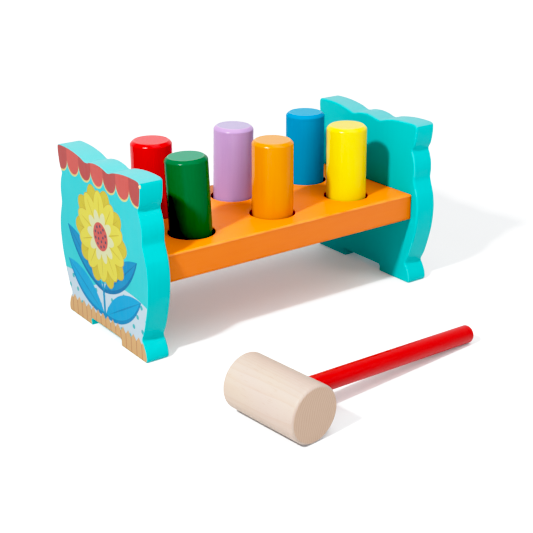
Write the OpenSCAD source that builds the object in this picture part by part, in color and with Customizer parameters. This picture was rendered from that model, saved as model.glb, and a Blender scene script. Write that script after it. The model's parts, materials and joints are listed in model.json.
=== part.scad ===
// Peg pounding bench for a toddler: a drilled deck between two cut-out end boards, six pegs that
// rubber rings hold in their holes, and a mallet that lies in front of the bench.
// X runs along the deck, -Y is the front and Z is up. The origin lies on the floor, under the
// middle of the whole set.

/* [End boards] */
// Thickness of an end board
board_t = 18; // [14:0.5:24]
// Height of an end board, from its feet to the tips of its ears
board_h = 131; // [120:1:150]
// Width of an end board at its widest, low on the flanks
board_w = 129; // [120:1:150]
// Width of the arch between the two feet
arch_w = 44.6; // [20:0.2:60]
// Height of the arch above the floor
arch_h = 5.6; // [4:0.2:12]
// Radius of the arch's two upper corners
arch_corner_r = 1.6; // [0.4:0.2:3]

/* [Deck] */
// Length of the deck, between the two end boards
deck_l = 224; // [212:1:280]
// Width of the deck
deck_w = 115; // [106:1:118]
// Thickness of the deck
deck_t = 20; // [16:0.5:26]
// Height of the deck's top face above the floor
deck_top = 75; // [73:0.5:84]
// Radius of the deck's four long edges
deck_edge_r = 1; // [0.4:0.2:3]

/* [Pegs] */
// Radius of a peg
peg_r = 15.5; // [12:0.5:16.5]
// Height of a peg's top above the deck before it is pounded
peg_stand = 56; // [48:0.5:58]
// Height of a peg's foot above the floor once its top is level with the deck
peg_floor_gap = 4; // [2:0.5:12]
// Radius of the rim at both ends of a peg
peg_rim_r = 2.7; // [0.6:0.1:4]

/* [Peg holes] */
// Gap round a peg in its hole
hole_gap = 1.5; // [1.2:0.1:2]
// Distance from the end of the deck to the middle of the nearest holes
hole_end_margin = 40.7; // [36:0.1:50]
// Distance between the front row and the rear row
row_gap = 52.6; // [46:0.1:56]
// Chamfer round the mouths of a hole
mouth_chamfer = 0.8; // [0.2:0.1:1.4]

/* [Grip rings] */
// Thickness of a rubber ring
ring_d = 3; // [2.6:0.1:4]
// Gap between a ring and its peg
ring_gap = 0.05; // [0.03:0.01:0.1]
// Gap between a ring and the walls of its groove
groove_gap = 0.05; // [0.02:0.01:0.2]

/* [Dowels] */
// Radius of a dowel
dowel_r = 4; // [3:0.5:5]
// Depth of a dowel in the end board
dowel_in_board = 11; // [8:0.5:13]
// Distance from the side of the deck to the middle of a dowel
dowel_side_margin = 18.5; // [10:0.5:24]
// Wood left between the dowels' holes and the grooves of the grip rings, along the deck
dowel_wall = 2.6; // [1:0.1:8]
// Room left for glue at the ends of a dowel
dowel_end_gap = 0.5; // [0.2:0.1:0.9]
// Glue line round a dowel and round the mallet's handle
glue_gap = 0.05; // [0.02:0.01:0.1]

/* [Mallet] */
// Radius of the mallet's head
head_r = 19.1; // [16:0.1:24]
// Length of the mallet's head
head_l = 62.7; // [50:0.1:80]
// Radius of the rim at both ends of the head
head_rim_r = 1.9; // [0.4:0.1:4]
// Radius of the handle
handle_r = 6.5; // [5:0.1:8]
// Length of the handle, with the end that is glued into the head
handle_l = 188.3; // [150:0.1:220]
// Radius of the rim at the handle's free end
handle_rim_r = 1.6; // [0.4:0.1:3]
// Depth of the handle's bore in the head
handle_bore_depth = 28; // [20:0.5:30]
// Angle by which the handle's bore is drilled off square
handle_skew = 1.6; // [-3:0.1:3]

/* [Where the mallet lies] */
// Distance of the mallet's head from the middle of the bench, along the deck
mallet_x = -106.3; // [-107:0.1:20]
// Distance of the mallet's head from the middle of the bench, to the front
mallet_front = 178.3; // [130:0.1:240]
// Angle by which the mallet's head is turned
mallet_turn = 6.55; // [-20:0.05:20]

/* [Hidden] */
$fn = 96;

// How far a cut reaches past the face that it opens
overrun = 1;

// Right half of an end board's outline, from the middle of the crown down the flank to the heel of
// the foot. Each point is a share of half the board's width and a share of its height.
outline_shares = [
    [0, 0.984],         // low tuft in the middle of the crown
    [0.13, 0.978],
    [0.25, 0.965],      // valley between the tuft and an ear
    [0.38, 0.982],
    [0.57, 0.996],
    [0.75, 1],          // ear
    [0.89, 0.996],
    [0.922, 0.978],     // tip of the ear
    [0.916, 0.92],
    [0.893, 0.87],
    [0.861, 0.838],     // neck, under the ear
    [0.888, 0.805],
    [0.914, 0.763],
    [0.922, 0.72],      // cheek
    [0.917, 0.68],
    [0.919, 0.655],     // waist, under the cheek
    [0.95, 0.61],
    [0.984, 0.555],
    [1, 0.475],         // flank at its widest
    [0.984, 0.375],
    [0.942, 0.285],
    [0.876, 0.182],
    [0.82, 0.124],      // notch above the foot
    [0.848, 0.1],
    [0.889, 0.062],
    [0.905, 0.028],     // toe
    [0.896, 0.006],
    [0.868, 0]          // heel of the foot, flat on the floor
];
// Straight pieces that each stretch of the outline is drawn with
curve_steps = 5;

// The bench, from the middle of its feet
board_inner_x = deck_l / 2;
deck_mid_z = deck_top - deck_t / 2;
hole_r = peg_r + hole_gap;
hole_pitch = deck_l / 2 - hole_end_margin;
row_y = row_gap / 2;
peg_l = deck_top - peg_floor_gap;

// A grip ring lies halfway down its hole, and its groove holds the outer half of it
ring_mid_r = peg_r + ring_gap + ring_d / 2;
groove_r = ring_mid_r + ring_d / 2 + groove_gap;
groove_h = ring_d + 2 * groove_gap;

// A dowel reaches into the deck as far as the grooves of the nearest holes let it
dowel_in_deck = hole_end_margin - groove_r - dowel_wall - dowel_end_gap;
dowel_y = deck_w / 2 - dowel_side_margin;

// A peg can lean until it touches its ring. The shares say how far each one leans, to the right
// and to the back.
peg_lean = acos(peg_r / (peg_r + ring_gap));
green_lean_shares = [-0.35, 0.26];
orange_lean_shares = [0.065, -0.045];
yellow_lean_shares = [-0.065, 0.045];
red_lean_shares = [0.02, -0.015];
purple_lean_shares = [0.25, -0.18];
blue_lean_shares = [0, 0];

// Places in the two rows of holes, as steps of the hole pitch and of half the row gap
front_left = [-1, -1];
front_middle = [0, -1];
front_right = [1, -1];
rear_left = [-1, 1];
rear_middle = [0, 1];
rear_right = [1, 1];
hole_places = [front_left, front_middle, front_right, rear_left, rear_middle, rear_right];

// The mallet lies on the side of its head and on the tip of its handle
handle_start = handle_bore_depth - head_r;
handle_reach = handle_l - handle_start;
mallet_droop = asin((head_r - handle_r) / ((handle_reach - handle_rim_r) * cos(handle_skew)));

// The set reaches from the widest part of the boards to the near end of the mallet's head
set_rear_y = board_w / 2;
set_front_y = -mallet_front - head_l / 2 * cos(mallet_turn) - head_r * abs(sin(mallet_turn));
bench_y = -(set_rear_y + set_front_y) / 2;

turquoise = [0, 0.78, 0.78];
deck_orange = [0.95, 0.5, 0.15];
bare_wood = [0.92, 0.83, 0.74];
black_rubber = [0.1, 0.1, 0.11];

// A point between b and c on the smooth curve that passes a, b, c and d
function curve_point(a, b, c, d, t) =
    (2 * b + (c - a) * t + (2 * a - 5 * b + 4 * c - d) * t * t
        + (3 * b - a - 3 * c + d) * t * t * t) / 2;

// The smooth open curve through a list of points
function curve(points) = let(last = len(points) - 1) [
    for (i = [0 : last - 1], step = [0 : curve_steps - 1])
        curve_point(points[max(i - 1, 0)], points[i], points[i + 1],
            points[min(i + 2, last)], step / curve_steps),
    points[last]
];

// Both halves of the outline, from heel to heel over the crown
function board_points() = [
    for (i = [len(outline_shares) - 1 : -1 : 1])
        [-outline_shares[i][0] * board_w / 2, outline_shares[i][1] * board_h],
    for (share = outline_shares)
        [share[0] * board_w / 2, share[1] * board_h]
];

// Moves a bench piece from the middle of the bench's feet to its place in the set
module on_bench() {
    translate([0, bench_y, 0])
        children();
}

// Draws a flat shape in the YZ plane and gives it a thickness along X, centred
module extrude_along_x(thickness) {
    rotate([90, 0, 90])
        linear_extrude(height = thickness, center = true)
            children();
}

// A rod along Z from the floor up, with a rounded rim at its top and, if asked, at its foot
module rimmed_rod(r, l, top_rim, foot_rim = 0) {
    rotate_extrude() {
        translate([0, foot_rim])
            square([r, l - top_rim - foot_rim]);
        square([r - foot_rim, l - top_rim]);
        translate([0, foot_rim])
            square([r - top_rim, l - foot_rim]);
        translate([r - top_rim, l - top_rim])
            circle(top_rim, $fn = 48);
        if (foot_rim > 0)
            translate([r - foot_rim, foot_rim])
                circle(foot_rim, $fn = 48);
    }
}

// The opening between the feet, with its two upper corners rounded
module arch() {
    translate([-arch_w / 2, -overrun])
        square([arch_w, arch_h - arch_corner_r + overrun]);
    translate([arch_corner_r - arch_w / 2, 0])
        square([arch_w - 2 * arch_corner_r, arch_h]);
    for (side = [-1, 1])
        translate([side * (arch_w / 2 - arch_corner_r), arch_h - arch_corner_r])
            circle(arch_corner_r, $fn = 32);
}

module board_outline() {
    difference() {
        polygon(curve(board_points()));
        arch();
    }
}

// The two dowels of one joint, or their holes when they are grown by the glue line
module dowel_pair(grow, end_grow) {
    for (row = [-1, 1])
        dowel(row, grow, end_grow);
}

// A dowel of the right-hand joint, in the front row (-1) or the rear row (1)
module dowel(row, grow = 0, end_grow = 0) {
    translate([board_inner_x - dowel_in_deck - end_grow, row * dowel_y, deck_mid_z])
        rotate([0, 90, 0])
            cylinder(r = dowel_r + grow, h = dowel_in_deck + dowel_in_board + 2 * end_grow);
}

// An end board, to the right (1) or the left (-1)
module end_board(side) {
    color(turquoise)
        on_bench()
            mirror([side < 0 ? 1 : 0, 0, 0])
                difference() {
                    translate([board_inner_x + board_t / 2, 0, 0])
                        extrude_along_x(board_t)
                            board_outline();
                    dowel_pair(glue_gap, dowel_end_gap);
                }
}

// The plank's cross-section, with its four long edges rounded
module deck_section() {
    square([deck_w - 2 * deck_edge_r, deck_t], center = true);
    square([deck_w, deck_t - 2 * deck_edge_r], center = true);
    for (y = [-1, 1], z = [-1, 1])
        translate([y * (deck_w / 2 - deck_edge_r), z * (deck_t / 2 - deck_edge_r)])
            circle(deck_edge_r, $fn = 32);
}

// A peg hole through the deck, with a groove for its ring and a chamfer at both mouths
module peg_hole() {
    cylinder(r = hole_r, h = deck_t + 2 * overrun, center = true);
    cylinder(r = groove_r, h = groove_h, center = true);
    for (side = [0, 1])
        mirror([0, 0, side])
            translate([0, 0, deck_t / 2 - mouth_chamfer])
                cylinder(r1 = hole_r, r2 = hole_r + mouth_chamfer + overrun,
                    h = mouth_chamfer + overrun);
}

module deck() {
    color(deck_orange)
        on_bench()
            difference() {
                translate([0, 0, deck_mid_z])
                    difference() {
                        extrude_along_x(deck_l)
                            deck_section();
                        for (place = hole_places)
                            translate([place[0] * hole_pitch, place[1] * row_y, 0])
                                peg_hole();
                    }
                for (side = [0, 1])
                    mirror([side, 0, 0])
                        dowel_pair(glue_gap, dowel_end_gap);
            }
}

// A dowel to the right (1) or the left (-1), in the front row (-1) or the rear row (1)
module glued_dowel(side, row) {
    color(bare_wood)
        on_bench()
            mirror([side < 0 ? 1 : 0, 0, 0])
                dowel(row);
}

// Moves a piece to the middle of a hole, halfway down the deck
module in_hole(place) {
    on_bench()
        translate([place[0] * hole_pitch, place[1] * row_y, deck_mid_z])
            children();
}

module grip_ring(place) {
    color(black_rubber)
        in_hole(place)
            rotate_extrude()
                translate([ring_mid_r, 0])
                    circle(ring_d / 2, $fn = 48);
}

// A peg, which leans about the middle of its grip ring
module peg(place, lean_shares, paint) {
    color(paint)
        in_hole(place)
            rotate([-lean_shares[1] * peg_lean, lean_shares[0] * peg_lean, 0])
                translate([0, 0, deck_t / 2 + peg_stand - peg_l])
                    rimmed_rod(peg_r, peg_l, peg_rim_r, peg_rim_r);
}

// Lays a mallet piece on the floor: its head points along Y and its handle along X before this
module on_floor() {
    on_bench()
        translate([mallet_x, -mallet_front, head_r])
            rotate([0, mallet_droop, mallet_turn])
                children();
}

// Turns a rod along Z into the handle's direction, with its foot at the bottom of the bore
module along_handle() {
    rotate([0, 0, -handle_skew])
        translate([-handle_start, 0, 0])
            rotate([0, 90, 0])
                children();
}

module mallet_head() {
    color(bare_wood)
        on_floor()
            difference() {
                rotate([90, 0, 0])
                    translate([0, 0, -head_l / 2])
                        rimmed_rod(head_r, head_l, head_rim_r, head_rim_r);
                along_handle()
                    translate([0, 0, -glue_gap])
                        cylinder(r = handle_r + glue_gap, h = 2 * head_r);
            }
}

module mallet_handle() {
    color("red")
        on_floor()
            along_handle()
                rimmed_rod(handle_r, handle_l, handle_rim_r);
}

end_board(-1);  // left_end_board
end_board(1);  // right_end_board
deck();
glued_dowel(-1, -1);  // dowel_left_front
glued_dowel(-1, 1);  // dowel_left_rear
glued_dowel(1, -1);  // dowel_right_front
glued_dowel(1, 1);  // dowel_right_rear
peg(front_left, green_lean_shares, "darkgreen");  // green_peg
peg(front_middle, orange_lean_shares, "orange");  // orange_peg
peg(front_right, yellow_lean_shares, "yellow");  // yellow_peg
peg(rear_left, red_lean_shares, "crimson");  // red_peg
peg(rear_middle, purple_lean_shares, "plum");  // purple_peg
peg(rear_right, blue_lean_shares, "steelblue");  // blue_peg
grip_ring(front_left);  // ring_front_left
grip_ring(front_middle);  // ring_front_middle
grip_ring(front_right);  // ring_front_right
grip_ring(rear_left);  // ring_rear_left
grip_ring(rear_middle);  // ring_rear_middle
grip_ring(rear_right);  // ring_rear_right
mallet_head();
mallet_handle();
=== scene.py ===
"""Looks of the peg pounding bench and its mallet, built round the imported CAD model."""

import json
import math

import bpy
from mathutils import Matrix, Vector


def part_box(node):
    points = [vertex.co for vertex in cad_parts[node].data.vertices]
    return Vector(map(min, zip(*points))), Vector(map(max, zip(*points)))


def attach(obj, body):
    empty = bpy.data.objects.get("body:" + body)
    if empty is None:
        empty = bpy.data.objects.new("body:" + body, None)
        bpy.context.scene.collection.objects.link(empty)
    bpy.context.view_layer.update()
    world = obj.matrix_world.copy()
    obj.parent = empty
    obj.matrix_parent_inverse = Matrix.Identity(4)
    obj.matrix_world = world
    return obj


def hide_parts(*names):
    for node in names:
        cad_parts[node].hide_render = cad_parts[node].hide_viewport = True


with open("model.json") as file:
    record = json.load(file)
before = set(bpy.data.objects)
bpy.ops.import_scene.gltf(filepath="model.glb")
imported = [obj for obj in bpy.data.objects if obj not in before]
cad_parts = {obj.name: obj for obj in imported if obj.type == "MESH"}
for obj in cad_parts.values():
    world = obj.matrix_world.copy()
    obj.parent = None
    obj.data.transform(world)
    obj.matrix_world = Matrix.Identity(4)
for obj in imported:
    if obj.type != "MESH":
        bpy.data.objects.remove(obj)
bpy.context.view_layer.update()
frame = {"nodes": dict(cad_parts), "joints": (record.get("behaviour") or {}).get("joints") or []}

# ---------------------------------------------------------------------------------------------
# The studio. The set stands on a sweep of white paper and is seen from its left front corner, a
# little from above. A small bright lamp at the left casts the shadows. Soft lamps at the front
# right, overhead and high in front, the white walls and a faint glow of the paper fill them.
# ---------------------------------------------------------------------------------------------
bpy.ops.object.select_all(action="DESELECT")
scene = bpy.context.scene
scene.view_settings.view_transform = "Standard"
scene.view_settings.use_curve_mapping = True
film = scene.view_settings.curve_mapping
film.black_level = [0.045] * 3
film.white_level = [1.3] * 3
all_colours = film.curves[3]
for light, shown in ((0.5, 0.65), (0.64, 0.815), (0.8, 0.925)):
    all_colours.points.new(light, shown)
film.update()

bpy.ops.object.camera_add(
    location=(-0.46258, -0.58613, 0.34159),
    rotation=[math.radians(angle) for angle in (68.4164, 0.2807, -35.9216)],
)
camera = bpy.context.object
camera.name = "camera"
camera.data.lens = 74.8
camera.data.sensor_width = 36
scene.camera = camera


def lamp(name, place, aim, width, watts):
    """Hangs a round lamp at a place and turns it to what it lights."""
    turn = (Vector(aim) - Vector(place)).to_track_quat("-Z", "Y").to_euler()
    bpy.ops.object.light_add(type="AREA", location=place, rotation=turn)
    made = bpy.context.object
    made.name = name
    made.data.shape = "DISK"
    made.data.size = width
    made.data.energy = watts


lamp("left_lamp", (-0.95, -0.26, 0.93), (0, 0.05, 0.05), 0.11, 25.5)
lamp("right_lamp", (0.65, -1.2, 0.8), (0, 0, 0.05), 0.6, 5.1)
lamp("ceiling_lamp", (0.1, 0.2, 1.6), (0, 0.05, 0), 1.2, 5.7)
lamp("front_top_lamp", (0.1, -0.75, 1.5), (0, 0.05, 0), 1.25, 9.1)


class Shade:
    """A socket of a finish's nodes. Sums and comparisons on it add Math nodes."""

    def __init__(self, tree, socket=None):
        self.tree = tree
        self.socket = socket

    def node(self, kind, inputs=None, settings=None, output=0):
        """Adds any node: its settings first, then the values or links of its sockets."""
        made = self.tree.nodes.new("ShaderNode" + kind)
        for name, value in (settings or {}).items():
            setattr(made, name, value)
        for name, value in (inputs or {}).items():
            if isinstance(value, Shade):
                self.tree.links.new(value.socket, made.inputs[name])
            else:
                made.inputs[name].default_value = value
        return Shade(self.tree, made.outputs[output])

    def math(self, operation, other=0.0):
        """A sum of this value and, where the operation has a second term, another one."""
        return self.node("Math", {0: self, 1: other}, {"operation": operation})

    def under(self, operation, other):
        """The same sum with the other one first."""
        return self.node("Math", {0: other, 1: self}, {"operation": operation})

    def __add__(self, other):
        return self.math("ADD", other)

    def __radd__(self, other):
        return self.under("ADD", other)

    def __sub__(self, other):
        return self.math("SUBTRACT", other)

    def __rsub__(self, other):
        return self.under("SUBTRACT", other)

    def __mul__(self, other):
        return self.math("MULTIPLY", other)

    def __rmul__(self, other):
        return self.under("MULTIPLY", other)

    def __truediv__(self, other):
        return self.math("DIVIDE", other)

    def __pow__(self, other):
        return self.math("POWER", other)

    def __abs__(self):
        return self.math("ABSOLUTE")

    def __lt__(self, other):
        return self.math("LESS_THAN", other)

    def __gt__(self, other):
        return self.math("GREATER_THAN", other)

    def placed(self, centre=(0, 0, 0), turn=(0, 0, 0), stretch=(1, 1, 1)):
        """The same point, seen from a piece's own centre and directions."""
        inputs = {"Vector": self, "Location": centre, "Rotation": turn, "Scale": stretch}
        return self.node("Mapping", inputs, {"vector_type": "TEXTURE"})

    def noise(self, scale, detail=2.0, roughness=0.5):
        """A cloudy pattern between 0 and 1, finer the higher its scale."""
        inputs = {"Vector": self, "Scale": scale, "Detail": detail, "Roughness": roughness}
        return self.node("TexNoise", inputs)

    def axes(self):
        """The X, Y and Z of a point."""
        return [self.node("SeparateXYZ", {0: self}, output=i) for i in range(3)]

    def over(self, mask, colour):
        """This colour, covered with another one where the mask is 1."""
        return mixed(mask, self, colour)


def mixed(share, first, second):
    """A colour between two, at a share that is a Shade."""
    inputs = {"Factor": share, 6: first, 7: second}
    return share.node("Mix", inputs, {"data_type": "RGBA"}, output=2)


def finish(name, drawn, **constants):
    """A finish. drawn takes the point on the piece and gives the inputs that vary over it."""
    material = bpy.data.materials.new(name)
    material.use_nodes = True
    tree = material.node_tree
    tree.nodes.clear()
    place = Shade(tree).node("TexCoord", output="Object")
    inputs = {part.replace("_", " "): value for part, value in constants.items()}
    shader = place.node("BsdfPrincipled", inputs | drawn(place))
    output = tree.nodes.new("ShaderNodeOutputMaterial")
    tree.links.new(shader.socket, output.inputs["Surface"])
    return material


def dress(piece, material):
    """Gives a piece its finish, in the place of any other."""
    piece.data.materials.clear()
    piece.data.materials.append(material)


def between(value, low, high):
    """0 up to the low value, 1 from the high one on, and a ramp between them."""
    inputs = {"Value": value, "From Min": low, "From Max": high}
    return value.node("MapRange", inputs)


walls = bpy.data.worlds.new("white_walls")
walls.use_nodes = True
scene.world = walls
seen = Shade(walls.node_tree).node("LightPath", output="Is Camera Ray")
mirrored = Shade(walls.node_tree).node("LightPath", output="Is Glossy Ray")
background = walls.node_tree.nodes["Background"]
background.inputs["Color"].default_value = (0.94, 0.985, 1, 1)
wall_light = 0.73 + 0.7 * seen + 0.64 * mirrored
walls.node_tree.links.new(wall_light.socket, background.inputs["Strength"])


def paper(place):
    """White paper whose glow sinks beside the bench and rises again towards the horizon."""
    under_bench = (0.105, 0.108, 0.115, 1)
    beside_bench = (0.03, 0.03, 0.038, 1)
    horizon = (0.7, 0.7, 0.7, 1)
    fibre = place.noise(400, 3)
    x, y = place.axes()[:2]
    away = (x ** 2 + (y - bench_middle_y) ** 2) ** 0.5
    glow = mixed(between(away, 0.13, 0.22), under_bench, beside_bench)
    return {
        "Base Color": mixed(fibre, (0.78, 0.78, 0.78, 1), (0.8, 0.8, 0.8, 1)),
        "Roughness": 0.55 + 0.1 * fibre,
        "Emission Color": glow.over(between(away, 0.3, 1.6), horizon),
    }


bench_middle_y = 0.07
bpy.ops.mesh.primitive_plane_add(size=40)
floor = bpy.context.object
floor.name = "paper_floor"
dress(floor, finish("white_paper", paper, Specular_IOR_Level=0.2, Emission_Strength=1.0))

# ---------------------------------------------------------------------------------------------
# The two end boards. Each is sawn from an 18 mm board, its inner rim is rounded over and its outer
# rim only broken, and it is sprayed turquoise. The outer face carries a flat print: a flower over
# hills and a fence, under a scalloped awning. The print fills the face to its rim.
# ---------------------------------------------------------------------------------------------
BOARDS = (("left_end_board", "left_board", -1), ("right_end_board", "right_board", 1))
board_inner_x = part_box("right_end_board")[0].x
board_outer_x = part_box("right_end_board")[1].x
bench_y = sum(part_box("deck")[i].y for i in (0, 1)) / 2
inner_rim = 0.0016
printed_rim = 0.0004
DOWELS = ("dowel_left_front", "dowel_left_rear", "dowel_right_front", "dowel_right_rear")
glue_gap = 0.00005
dowel_end_gap = 0.0005
sharp = math.radians(40)
touch = 1e-5
weld = 1e-6


def begin(piece):
    """Makes a piece the only one that is selected."""
    bpy.ops.object.select_all(action="DESELECT")
    piece.select_set(True)
    bpy.context.view_layer.objects.active = piece


def round_edges(piece, radius, steps, chosen, profile=0.5):
    """Rounds the sharp edges of a piece whose two ends both pass a test.

    The profile is 0.5 for a full round and 0.25 for a straight bevel.
    """
    begin(piece)
    mesh = piece.data
    beside = {}
    for face in mesh.polygons:
        for key in face.edge_keys:
            beside.setdefault(key, []).append(face.normal)
    for part in (mesh.vertices, mesh.edges, mesh.polygons):
        part.foreach_set("select", [False] * len(part))
    for edge in mesh.edges:
        normals = beside.get(edge.key, [])
        if len(normals) == 2 and normals[0].angle(normals[1]) > sharp:
            edge.select = all(chosen(mesh.vertices[i].co) for i in edge.vertices)
    bpy.context.tool_settings.mesh_select_mode = (False, True, False)
    bpy.ops.object.mode_set(mode="EDIT")
    bpy.ops.mesh.bevel(
        offset=radius, segments=steps, profile=profile, affect="EDGES", clamp_overlap=False
    )
    bpy.ops.object.mode_set(mode="OBJECT")


def smooth(piece):
    """Shades the round parts of a piece smooth and keeps its flat faces flat."""
    begin(piece)
    bpy.ops.object.shade_smooth_by_angle(angle=math.radians(35))
    bpy.ops.object.modifier_add(type="WEIGHTED_NORMAL")
    piece.modifiers[0].keep_sharp = True
    bpy.ops.object.modifier_apply(modifier=piece.modifiers[0].name)


def cut(piece, cutter):
    """Cuts one piece out of another and throws the cutter away."""
    begin(piece)
    bpy.ops.object.modifier_add(type="BOOLEAN")
    piece.modifiers[0].operation = "DIFFERENCE"
    piece.modifiers[0].solver = "EXACT"
    piece.modifiers[0].object = cutter
    bpy.ops.object.modifier_apply(modifier=piece.modifiers[0].name)
    bpy.data.objects.remove(cutter)


def drill_for_dowels(piece, side):
    """Drills the blind holes of the dowels at the right (1) or the left (-1)."""
    for dowel in DOWELS:
        low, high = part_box(dowel)
        if side * low.x > 0:
            bpy.ops.mesh.primitive_cylinder_add(
                vertices=48, radius=(high.z - low.z) / 2 + glue_gap,
                depth=high.x - low.x + 2 * dowel_end_gap,
                location=(low + high) / 2, rotation=(0, math.pi / 2, 0),
            )
            cut(piece, bpy.context.object)


def sawn_board(node, name, side):
    """An end board, cut to the outline of its CAD node, at the right (1) or the left (-1)."""
    board = bpy.data.objects.new(name, frame["nodes"][node].data.copy())
    scene.collection.objects.link(board)
    begin(board)
    bpy.ops.mesh.customdata_custom_splitnormals_clear()
    bpy.ops.object.mode_set(mode="EDIT")
    bpy.ops.mesh.select_all(action="SELECT")
    bpy.ops.mesh.remove_doubles(threshold=weld)
    bpy.ops.mesh.dissolve_limited(angle_limit=0.002)
    bpy.ops.object.mode_set(mode="OBJECT")
    for part in (board.data.vertices, board.data.edges, board.data.polygons):
        part.foreach_set("select", [False] * len(part))
    for face in board.data.polygons:
        face.select = face.normal.x * side < 0.9
    bpy.context.tool_settings.mesh_select_mode = (False, False, True)
    bpy.ops.object.mode_set(mode="EDIT")
    bpy.ops.mesh.delete(type="FACE")
    bpy.ops.mesh.select_all(action="SELECT")
    bpy.ops.mesh.remove_doubles(threshold=inner_rim / 2)
    bpy.ops.mesh.select_all(action="SELECT")
    thickness = {"value": (side * (board_inner_x - board_outer_x), 0, 0)}
    bpy.ops.mesh.extrude_region_move(TRANSFORM_OT_translate=thickness)
    bpy.ops.mesh.select_all(action="SELECT")
    bpy.ops.mesh.normals_make_consistent(inside=False)
    bpy.ops.object.mode_set(mode="OBJECT")
    round_edges(board, inner_rim, 5, lambda end: abs(end.x) < board_inner_x + touch)
    round_edges(board, printed_rim, 3, lambda end: abs(end.x) > board_outer_x - touch)
    drill_for_dowels(board, side)
    smooth(board)
    return board


def tint(red, green, blue):
    """A colour as the shader wants it, from the 0 to 255 of a paint chart."""
    def linear(part):
        part = part / 255
        return part / 12.92 if part <= 0.04045 else ((part + 0.055) / 1.055) ** 2.4

    return (linear(red), linear(green), linear(blue), 1)


def bumped(height, depth):
    """The normal of a surface whose height runs from 0 to 1 over a depth in metres."""
    return height.node("Bump", {"Height": height, "Distance": depth, "Strength": 1.0})


def disc(u, v, middle, radius):
    """1 inside a circle on the print. u, v, middle and radius are in millimetres."""
    return (u - middle[0]) ** 2 + (v - middle[1]) ** 2 < radius * radius


def leaf(u, v, foot, tip, belly):
    """1 inside a leaf, where two circles through its foot and its tip overlap."""
    middle = ((foot[0] + tip[0]) / 2, (foot[1] + tip[1]) / 2)
    along = (tip[0] - foot[0], tip[1] - foot[1])
    half = math.hypot(*along) / 2
    out = (half * half - belly * belly) / (2 * belly)
    step = (-along[1] * out / (2 * half), along[0] * out / (2 * half))
    one = disc(u, v, (middle[0] + step[0], middle[1] + step[1]), out + belly)
    return one * disc(u, v, (middle[0] - step[0], middle[1] - step[1]), out + belly)


def petals(away, turn, count, shift, out, long, wide):
    """1 inside a ring of ovals that stand out millimetres from a flower's middle."""
    sector = math.tau / count
    off = ((turn / sector + shift).math("FRACT") - 0.5) * sector
    along = (away * off.math("COSINE") - out) / long
    across = away * off.math("SINE") / wide
    return along ** 2 + across ** 2 < 1


def flower_print(u, v):
    """The picture on the outer faces. u runs across the board and v up it, in millimetres."""
    side = abs(u)
    picture = mixed(u.node("CombineXYZ", {0: u, 1: v}).noise(0.03), tint(29, 135, 139),
                    tint(36, 142, 146))

    # two pale hills with rows of teal spots, each row half a spot's pitch off the last
    row_height, spot_pitch, spot_r_squared = 9, 12, 3.2
    hills = disc(u, v, (-34, -62), 108).math("MAXIMUM", disc(u, v, (44, -92), 128))
    picture = picture.over(hills, tint(135, 147, 155))
    row = v / row_height
    across = ((u / spot_pitch + row.math("FLOOR") * 0.5).math("FRACT") - 0.5) * spot_pitch
    up = (row.math("FRACT") - 0.5) * row_height
    spots = across ** 2 + up ** 2 < spot_r_squared
    picture = picture.over(hills * spots, tint(41, 123, 128))

    # the stem and four big blue leaves, each with a dark lower edge and a dark vein
    stem_half, stem_top = 1.5, 60
    picture = picture.over((side < stem_half) * (v < stem_top), tint(0, 98, 131))
    for foot, tip, belly, light, dark in (
        ((0, 34), (51, 72), 9, tint(0, 94, 131), tint(0, 75, 114)),
        ((0, 15), (54, 44), 10, tint(0, 110, 146), tint(0, 89, 128)),
    ):
        picture = picture.over(leaf(side, v, foot, tip, belly), light)
        raised = leaf(side, v - 3, foot, tip, belly)
        picture = picture.over((1 - raised) * leaf(side, v, foot, tip, belly), dark)
        vein_foot = (foot[0] + 6, foot[1] + 3.6)
        picture = picture.over(leaf(side, v, vein_foot, tip, 0.6), dark)

    # the flower: two rows of yellow petals and a pale one, round a spotted coral middle
    flower_v, middle_r, seed_r, outline, vein = 76, 10.5, 1.1, 0.6, 0.35
    dv = v - flower_v
    away = (u ** 2 + dv ** 2) ** 0.5
    turn = dv.math("ARCTAN2", u)
    amber = tint(133, 114, 25)
    for shift, out, long, wide, paint in (
        (0.5, 23, 14, 8.4, tint(140, 128, 29)),
        (0.0, 19.5, 14, 7.6, tint(151, 143, 46)),
    ):
        round_it = petals(away, turn, 10, shift, out, long + outline, wide + outline)
        picture = picture.over(round_it, amber)
        picture = picture.over(petals(away, turn, 10, shift, out, long, wide), paint)
        picture = picture.over(petals(away, turn, 10, shift, out, long - 4, vein), amber)
    picture = picture.over(petals(away, turn, 10, 0.5, 11.5, 8, 4), tint(147, 147, 114))
    picture = picture.over(away < middle_r, tint(140, 57, 52))
    for count, out in ((10, 7.6), (5, 3.6)):
        seeds = petals(away, turn, count, 0, out, seed_r, seed_r)
        picture = picture.over(seeds, tint(32, 41, 57))

    # the awning, coral with darker stripes, a scalloped edge and a pale hem
    stripe_width, scallop_v, scallop_r_squared, hem = 18, 120.5, 81.1, 1.4
    stripe = (u / stripe_width + 0.5).math("FLOOR")
    from_middle = u - stripe * stripe_width
    edge = scallop_v - (scallop_r_squared - from_middle ** 2).math("MAXIMUM", 0) ** 0.5
    odd = abs(stripe).math("MODULO", 2) > 0.5
    picture = picture.over(v > edge, tint(140, 57, 52))
    picture = picture.over((v > edge) * odd, tint(123, 48, 46))
    picture = picture.over((v > edge) * (v < edge + hem), tint(147, 139, 87))

    # the picket fence along the ground, with pointed slats and dark gaps
    slat_width, fence_v, slope, half_slat = 7.4, 16.5, 1.1, 3.35
    slat = ((u / slat_width).math("FRACT") - 0.5) * slat_width
    top = fence_v - abs(slat) * slope
    picture = picture.over(v < top, tint(149, 117, 78))
    return picture.over((v < top) * (abs(slat) > half_slat), tint(123, 75, 46))


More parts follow.
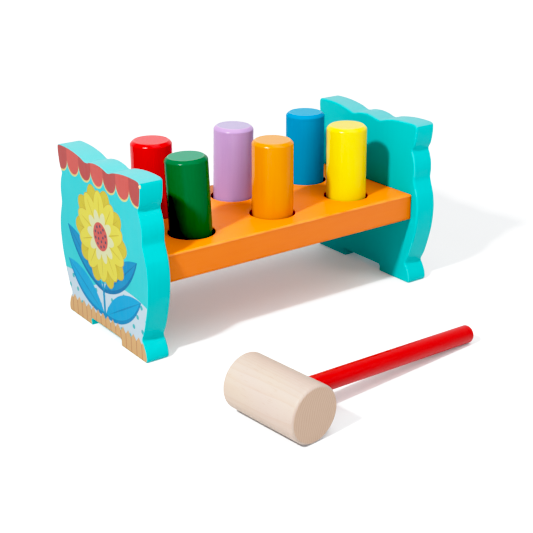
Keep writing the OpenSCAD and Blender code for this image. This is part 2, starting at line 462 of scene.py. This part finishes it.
crown_low, crown_full, crown_half = 0.1245, 0.1262, 0.0592
rim_mark_middle, rim_mark_half = 0.0006, 0.0004
chip_depth = 0.0009
chip_r = 1.1
worn_corner = (-59.5, 127.4)
bare_spot = tint(186, 161, 125)


def board_finish(place):
    """Turquoise paint, with a painted sheen that lightens the crown, and worn paint with a painted
    highlight along the inner rim.
    """
    x, y, z = place.axes()
    grain = place.placed(stretch=(1, 1, 14)).noise(420, 4, 0.6)
    cloud = place.noise(28)
    paint = mixed(grain * 0.5 + cloud * 0.5, tint(0, 148, 150), tint(3, 159, 160))
    # painted sheen: the crown is painted paler, standing in for the light that falls on the top
    crown_sheen = between(z, crown_low, crown_full) * (abs(y - bench_y) < crown_half)
    crown_sheen = crown_sheen * between(abs(x), board_inner_x + 0.0005, board_inner_x + inner_rim)
    paint = paint.over(crown_sheen * (0.75 + 0.25 * cloud), tint(80, 149, 152))
    # worn paint and a painted highlight: a pale, broken line along the inner rim
    rim_wear_and_highlight = abs(abs(x) - board_inner_x - rim_mark_middle) < rim_mark_half
    paint = paint.over(rim_wear_and_highlight * (place.noise(130, 3) > 0.5) * 0.12, tint(95, 179, 181))
    u, v = (y - bench_y) * 1000, z * 1000
    chip = (x < chip_depth - board_outer_x) * disc(u, v, worn_corner, chip_r)
    return {
        "Base Color": paint.over(chip, bare_spot),
        "Roughness": 0.42 + 0.12 * cloud,
        "Normal": bumped(grain * 0.6 + place.noise(900, 2) * 0.4, 0.00005),
    }


def print_finish(place):
    """Flat ink over the paint, a little thin along the grain, and chipped at one corner."""
    x, y, z = place.axes()
    u, v = (y - bench_y) * 1000, z * 1000
    grain = place.placed(stretch=(1, 1, 14)).noise(420, 4, 0.6)
    chip = (x < 0) * disc(u, v, worn_corner, chip_r)
    worn = flower_print(u, v).over(grain * 0.1, tint(105, 131, 131))
    return {
        "Base Color": worn.over(chip, bare_spot),
        "Roughness": 0.55 + 0.12 * place.noise(60),
        "Normal": bumped(grain * 0.6 + place.noise(900, 2) * 0.4, 0.00003),
    }


board_paint = finish("board_turquoise", board_finish, Specular_IOR_Level=0.27)
board_print = finish("board_flower_print", print_finish, Specular_IOR_Level=0.15)
for node, name, side in BOARDS:
    board = sawn_board(node, name, side)
    dress(board, board_paint)
    board.data.materials.append(board_print)
    for face in board.data.polygons:
        face.material_index = int(side * face.normal.x > 0.999 and side * face.center.x > 0)
    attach(board, "bench")
    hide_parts(node)

# ---------------------------------------------------------------------------------------------
# The deck, a planed plank between the two boards, drilled with six holes whose mouths are eased,
# grooved for the rubber rings and painted orange. It is butted to the boards on glued dowels.
# ---------------------------------------------------------------------------------------------
deck_low, deck_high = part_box("deck")
deck_middle = (deck_low + deck_high) / 2
deck_edge = 0.001
deck_end_edge = 0.0004
hole_r = 0.017
mouth_r = 0.0008
mouth_steps = 4
drill_over = 0.001
groove_r = 0.0186
groove_h = 0.0031
RINGS = ("ring_front_left", "ring_front_middle", "ring_front_right",
         "ring_rear_left", "ring_rear_middle", "ring_rear_right")


def middle_of(node):
    """The middle of a CAD node's box."""
    low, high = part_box(node)
    return (low + high) / 2


def turned(name, profile, corners=96):
    """A round piece as a lathe makes it, from (height, radius) pairs from its foot to its top."""
    foot, radius = profile[0]
    bpy.ops.mesh.primitive_circle_add(
        vertices=corners, radius=radius, fill_type="NGON", location=(0, 0, foot)
    )
    made = bpy.context.object
    made.name = name
    bpy.ops.object.transform_apply(location=True)
    bpy.ops.object.mode_set(mode="EDIT")
    bpy.ops.mesh.select_all(action="SELECT")
    for height, wide in profile[1:]:
        step = {"value": (0, 0, height - foot)}
        bpy.ops.mesh.extrude_region_move(TRANSFORM_OT_translate=step)
        bpy.ops.transform.resize(value=(wide / radius, wide / radius, 1))
        foot, radius = height, wide
    bpy.ops.mesh.select_all(action="SELECT")
    bpy.ops.mesh.normals_make_consistent(inside=False)
    bpy.ops.object.mode_set(mode="OBJECT")
    return made


bpy.ops.mesh.primitive_cube_add(size=1, location=deck_middle, scale=deck_high - deck_low)
deck = bpy.context.object
deck.name = "drilled_deck"
bpy.ops.object.transform_apply()
round_edges(deck, deck_end_edge, 2, lambda end: abs(end.x) > board_inner_x - touch)
round_edges(deck, deck_edge, 4, lambda end: True)

half = (deck_high.z - deck_low.z) / 2
mouth = [(half + drill_over, hole_r + 2.2 * mouth_r), (half, hole_r + mouth_r * 1.1)]
for step in range(1, mouth_steps + 1):
    angle = math.radians(90 - 90 * step / mouth_steps)
    down, out = mouth_r * (1 - math.sin(angle)), mouth_r * (1 - math.cos(angle))
    mouth.append((half - down, hole_r + out))
upper = mouth + [(groove_h / 2, hole_r), (groove_h / 2, groove_r)]
drill_profile = [(-z, r) for z, r in upper] + [(z, r) for z, r in reversed(upper)]
for ring in RINGS:
    drill = turned("drill", drill_profile)
    drill.location = middle_of(ring)
    begin(drill)
    bpy.ops.object.transform_apply()
    cut(deck, drill)
for side in (-1, 1):
    drill_for_dowels(deck, side)
smooth(deck)


def deck_finish(place):
    """Orange paint over the plank's grain, which runs from board to board."""
    grain = place.placed(stretch=(16, 1, 1)).noise(520, 5, 0.6)
    cloud = place.noise(22)
    share = grain * 0.6 + cloud * 0.4
    y, z = place.axes()[1:]
    # painted light: the top is painted lighter and yellower, and the narrow faces darker, standing
    # in for the light that falls on the top
    paint = mixed(share, tint(182, 88, 12), tint(191, 99, 18))
    lit_top_paint = mixed(share, tint(222, 110, 15), tint(232, 124, 22))
    paint = paint.over(z > deck_high.z - 0.0004, lit_top_paint)
    # the front and rear edges are rubbed paler where the planer left them sharpest, and painted
    # paler still as a highlight on their rounding
    out = abs(y - bench_y) + abs(z - deck_middle.z)
    edge = between(out, deck_reach - 0.0012, deck_reach - 0.0007)
    paint = paint.over(edge * between(place.noise(60, 3), 0.3, 0.7) * 0.3, tint(229, 160, 78))
    return {
        "Base Color": paint,
        "Roughness": 0.40 + 0.12 * cloud,
        "Normal": bumped(grain * 0.7 + place.noise(900, 2) * 0.3, 0.00004),
    }


deck_reach = (deck_high.y - deck_low.y + deck_high.z - deck_low.z) / 2
dress(deck, finish("deck_orange", deck_finish, Specular_IOR_Level=0.4))
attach(deck, "bench")
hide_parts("deck")

# ---------------------------------------------------------------------------------------------
# The dowels, fluted beech glued into the boards and the deck's ends, out of sight. The CAD nodes
# stay as they are and only get their wood.
# ---------------------------------------------------------------------------------------------


def dowel_finish(place):
    """Plain beech, whose grain runs along the dowel."""
    grain = place.placed(stretch=(20, 1, 1)).noise(900, 4, 0.6)
    return {
        "Base Color": mixed(grain, tint(196, 160, 120), tint(224, 194, 156)),
        "Roughness": 0.6 + 0.15 * grain,
        "Normal": bumped(grain, 0.00008),
    }


dowel_wood = finish("dowel_beech", dowel_finish)
for node in DOWELS:
    dress(frame["nodes"][node], dowel_wood)

# ---------------------------------------------------------------------------------------------
# The grip rings, moulded black rubber, one in the groove of each hole. They show only as the dark
# bottom of the gap round a peg. The CAD nodes stay.
# ---------------------------------------------------------------------------------------------


def rubber_finish(place):
    """Black rubber with a little dust on it."""
    dust = place.noise(600, 3)
    return {
        "Base Color": mixed(dust, tint(26, 24, 26), tint(52, 46, 48)),
        "Roughness": 0.55 + 0.2 * dust,
        "Normal": bumped(dust, 0.00004),
    }


ring_rubber = finish("ring_rubber_black", rubber_finish)
for ring in RINGS:
    dress(frame["nodes"][ring], ring_rubber)

# ---------------------------------------------------------------------------------------------
# The six pegs, turned from beech dowel with both rims rounded, and dipped in glossy paint. Each
# leans a little in its hole, in a direction of its own, along which it slides.
# ---------------------------------------------------------------------------------------------
peg_r = 0.0155
peg_l = 0.071
peg_rim = 0.0029
peg_stand = 0.056
peg_top = half + peg_stand
# each peg's hole, the two shades of its paint, the painted light on its flat top, and its gloss
PEGS = (
    ("green", "ring_front_left", (0, 79, 42), (0, 91, 51), (0, 109, 76), 0.10),
    ("orange", "ring_front_middle", (180, 105, 3), (188, 116, 9), (182, 113, 2), 0.24),
    ("yellow", "ring_front_right", (192, 164, 4), (199, 175, 11), (189, 158, 6), 0.28),
    ("red", "ring_rear_left", (175, 2, 7), (188, 9, 13), (182, 5, 8), 0.20),
    ("purple", "ring_rear_middle", (145, 117, 157), (155, 127, 165), (139, 126, 155), 0.15),
    ("blue", "ring_rear_right", (0, 111, 150), (0, 123, 161), (0, 127, 157), 0.03),
)

bpy.ops.mesh.primitive_cylinder_add(vertices=160, radius=peg_r, depth=peg_l)
blank = bpy.context.object
blank.name = "peg_blank"
round_edges(blank, peg_rim, 14, lambda end: True, profile=0.36)
smooth(blank)

for colour, ring, dark, light, cap_painted_light, gloss in PEGS:
    centre = middle_of(ring)
    own_turn = len(colour)
    slide = next(j for j in frame["joints"] if j["name"] == colour + "_peg_slide")
    lean = Vector((0, 0, 1)).rotation_difference(Vector(slide["axis"])).to_matrix()
    peg = bpy.data.objects.new(colour + "_peg_painted", blank.data.copy())
    scene.collection.objects.link(peg)
    peg_middle = Matrix.Translation((0, 0, peg_top - peg_l / 2))
    peg.data.transform(Matrix.Translation(centre) @ lean.to_4x4() @ peg_middle)

    def peg_finish(place):
        """Glossy paint on turned beech, with its own clouds on each peg."""
        own = place.placed(centre, lean.to_euler())
        a, b, c = own.axes()
        streak = own.placed(stretch=(1, 1, 24)).noise(700, 4, 0.6)
        cloud = own.placed(turn=(own_turn, own_turn, 0)).noise(40)
        paint = mixed(streak * 0.6 + cloud * 0.4, tint(*dark), tint(*light))
        # painted light and shade: the flat top gets a colour of its own, standing in for how light
        # falls on and shines off the top
        paint = paint.over(c > peg_top - 0.0001, tint(*cap_painted_light))
        # the paint is thinnest along the edge of the flat top, and a painted highlight lightens
        # that edge as well
        off_edge = abs((a ** 2 + b ** 2) ** 0.5 - peg_r + peg_rim - 0.0002)
        thin_paint_and_highlight = between(off_edge, 0.0007, 0.0002) * (c > peg_top - 0.0006) * 0.06
        return {
            "Base Color": mixed(thin_paint_and_highlight, paint, (0.9, 0.85, 0.78, 1)),
            "Roughness": 0.2 + 0.06 * cloud,
            "Normal": bumped(streak * 0.7 + own.noise(800, 2) * 0.3, 0.00004),
        }

    dress(peg, finish(colour + "_peg_gloss", peg_finish, Specular_IOR_Level=gloss))
    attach(peg, "moving_" + colour + "_peg")
    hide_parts(colour + "_peg")
bpy.data.objects.remove(blank)

# ---------------------------------------------------------------------------------------------
# The mallet: a plain beech head, turned and sanded, and a red painted handle glued into a blind
# hole in its side. It lies in front of the bench on its head and on the tip of its handle.
# ---------------------------------------------------------------------------------------------
head_r = 0.0191
head_l = 0.0627
head_rim = 0.0019
handle_r = 0.0065
handle_l = 0.1883
handle_rim = 0.0016
bore_depth = 0.028
head_place = (-0.1063, bench_y - 0.1783, head_r)
heading = math.radians(6.55)
skew = math.radians(1.6)
reach = handle_l - (bore_depth - head_r)
droop = math.asin((head_r - handle_r) / ((reach - handle_rim) * math.cos(skew)))
lying = (
    Matrix.Translation(head_place)
    @ Matrix.Rotation(heading, 4, "Z")
    @ Matrix.Rotation(droop, 4, "Y")
)
along_handle = lying @ Matrix.Rotation(-skew, 4, "Z") @ Matrix.Rotation(math.radians(90), 4, "Y")
handle_foot = Matrix.Translation((0, 0, head_r - bore_depth))

bpy.ops.mesh.primitive_cylinder_add(vertices=160, radius=head_r, depth=head_l)
head = bpy.context.object
head.name = "beech_head"
round_edges(head, head_rim, 7, lambda end: True)
head.data.transform(lying @ Matrix.Rotation(math.radians(90), 4, "X"))
bpy.ops.mesh.primitive_cylinder_add(vertices=96, radius=handle_r + glue_gap, depth=2 * head_r)
bore = bpy.context.object
bore.data.transform(
    along_handle @ handle_foot @ Matrix.Translation((0, 0, head_r - glue_gap))
)
cut(head, bore)
smooth(head)


def head_finish(place):
    """Bare beech: years and pores along the side, the cut ends a little darker."""
    own = place.placed(lying.to_translation(), lying.to_euler())
    a, b, c = own.axes()
    # a year's growth darkens to a line, and the heart of the tree lay 80 mm off
    growth, heart_a, heart_c = 0.0018, 0.078, -0.018
    wander = own.placed(stretch=(1, 7, 1)).noise(50, 2) * 3
    heart = ((a - heart_a) ** 2 + (c - heart_c) ** 2) ** 0.5
    year = (heart / growth + wander).math("FRACT") ** 3
    fibre = own.placed(stretch=(1, 30, 1)).noise(1100, 5, 0.65)
    pore = own.placed(stretch=(1, 14, 1)).noise(1900, 2, 0.5) > 0.66
    cloud = own.placed(stretch=(1, 2.2, 1)).noise(38, 1)
    end = abs(b) > head_l / 2 - 0.0001
    side_wood = mixed(cloud, tint(153, 138, 134), tint(158, 143, 126))
    side_wood = side_wood.over(year * 0.22, tint(143, 118, 98))
    side_wood = side_wood.over(pore * 0.18, tint(127, 98, 77))
    end_wood = mixed(fibre, tint(160, 137, 118), tint(168, 144, 127))
    end_wood = end_wood.over(year * 0.55, tint(135, 106, 86))
    return {
        "Base Color": side_wood.over(end, end_wood),
        "Roughness": 0.5 + 0.15 * fibre,
        "Normal": bumped(fibre * 0.7 + year * 0.3, 0.00006),
    }


dress(head, finish("bare_beech", head_finish, Specular_IOR_Level=0.3))
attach(head, "mallet")
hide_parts("mallet_head")

bpy.ops.mesh.primitive_cylinder_add(vertices=96, radius=handle_r, depth=handle_l)
handle = bpy.context.object
handle.name = "red_handle"
round_edges(handle, handle_rim, 6, lambda end: end.z > 0)
handle.data.transform(along_handle @ handle_foot @ Matrix.Translation((0, 0, handle_l / 2)))
smooth(handle)


def handle_finish(place):
    """Red paint, less glossy than that of the pegs, streaked along the rod."""
    own = place.placed(along_handle.to_translation(), along_handle.to_euler())
    streak = own.placed(stretch=(1, 1, 24)).noise(700, 4, 0.6)
    cloud = own.noise(40)
    return {
        "Base Color": mixed(streak * 0.6 + cloud * 0.4, tint(155, 9, 13), tint(169, 20, 19)),
        "Roughness": 0.34 + 0.10 * cloud,
        "Normal": bumped(streak * 0.7 + own.noise(800, 2) * 0.3, 0.00004),
    }


dress(handle, finish("handle_red", handle_finish, Specular_IOR_Level=0.22))
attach(handle, "mallet")
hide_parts("mallet_handle")
